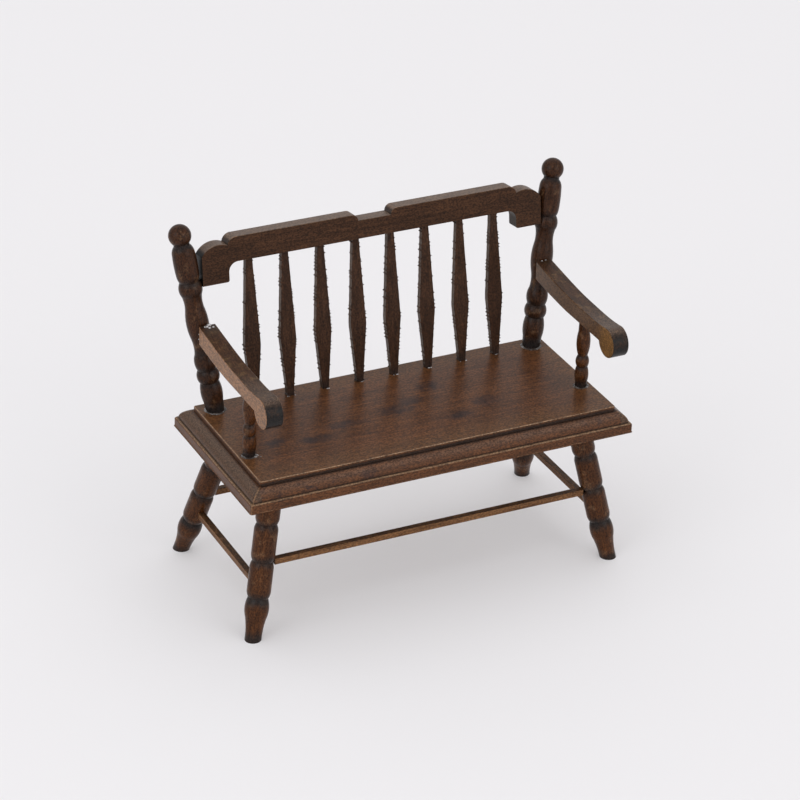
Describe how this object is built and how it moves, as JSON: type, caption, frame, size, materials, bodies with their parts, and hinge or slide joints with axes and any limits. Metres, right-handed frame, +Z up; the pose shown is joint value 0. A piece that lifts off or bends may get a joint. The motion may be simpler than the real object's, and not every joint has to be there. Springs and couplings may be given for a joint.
{
  "type": "pew",
  "caption": "Spindle-back church pew miniature in dark stained wood: leaning back with flat spindles, shaped crest, turned posts and legs, open arms.",
  "frame": {"origin": "middle of the pew's footprint, on the floor under the feet", "axes": "+X along the pew to the right seen from the front, +Y toward the back, +Z up; the pew faces -Y"},
  "size_m": [0.1036, 0.0512, 0.0899],
  "materials": {
    "seat_wood": "satin dark walnut stain",
    "turned_wood": "satin dark walnut stain",
    "sawn_wood": "satin dark walnut stain",
    "arm_wood": "satin dark walnut stain",
    "stretcher_wood": "satin dark walnut stain"
  },
  "bodies": {
    "root": {"seat": "seat_wood", "crest_rail": "sawn_wood", "spindle_1": "sawn_wood", "spindle_2": "sawn_wood", "spindle_3": "sawn_wood", "spindle_4": "sawn_wood", "spindle_5": "sawn_wood", "spindle_6": "sawn_wood", "spindle_7": "sawn_wood", "spindle_8": "sawn_wood", "back_post_left": "turned_wood", "back_post_right": "turned_wood", "arm_left": "arm_wood", "arm_right": "arm_wood", "arm_post_left": "turned_wood", "arm_post_right": "turned_wood", "leg_front_left": "turned_wood", "leg_front_right": "turned_wood", "leg_back_left": "turned_wood", "leg_back_right": "turned_wood", "stretcher_front": "stretcher_wood", "stretcher_rear": "stretcher_wood", "stretcher_left": "stretcher_wood", "stretcher_right": "stretcher_wood"}
  },
  "joints": []
}
